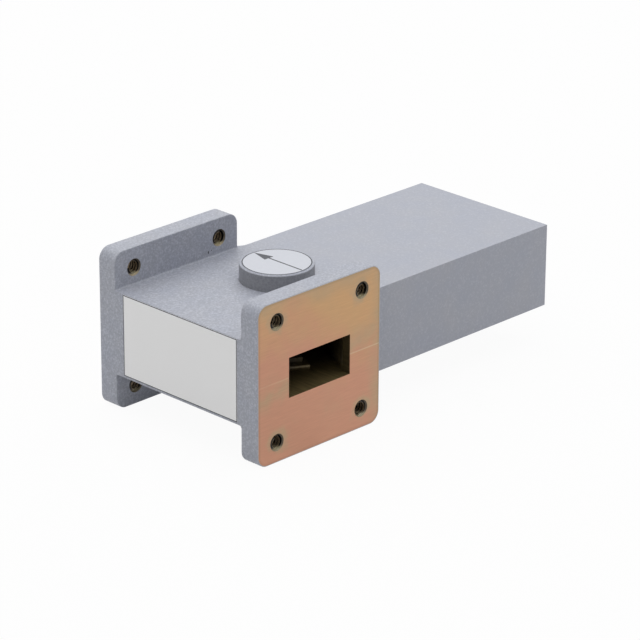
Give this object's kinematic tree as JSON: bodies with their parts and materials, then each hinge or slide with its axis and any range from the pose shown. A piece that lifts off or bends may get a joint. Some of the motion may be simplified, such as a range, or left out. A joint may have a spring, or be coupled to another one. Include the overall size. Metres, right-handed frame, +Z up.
{
  "type": "waveguide isolator",
  "caption": "Rectangular waveguide isolator with square flanges at its ports, a flat load arm at one side and round magnet caps over the ferrite junction.",
  "frame": {"origin": "centre of the front port on its mating face", "axes": "+Y through the isolator from the front port to the rear port, +X out along the load arm, +Z up through the junction's upper magnet cap"},
  "size_m": [0.1007, 0.0508, 0.0382],
  "materials": {
    "painted_body": "satin grey paint, chromated bare metal on the mating faces and in the channels",
    "painted_cap": "satin grey paint",
    "label_film": "white printed film",
    "chromated_aluminium": "yellow chromate conversion",
    "ferrite": "ground ceramic",
    "dielectric": "white fluoropolymer",
    "soft_steel": "bare",
    "magnet": "nickel plated",
    "absorber": "iron loaded resin"
  },
  "bodies": {
    "root": {"body_upper_half": "painted_body", "body_lower_half": "painted_body", "magnet_cap_upper": "painted_cap", "magnet_cap_lower": "painted_cap", "arrow_label": "label_film", "side_label": "label_film", "pedestal_upper": "chromated_aluminium", "pedestal_lower": "chromated_aluminium", "ferrite_upper": "ferrite", "ferrite_lower": "ferrite", "ferrite_spacer": "dielectric", "pole_disc_upper": "soft_steel", "pole_disc_lower": "soft_steel", "magnet_upper": "magnet", "magnet_lower": "magnet", "absorber_upper": "absorber", "absorber_lower": "absorber", "locating_pins": "soft_steel"}
  },
  "joints": []
}
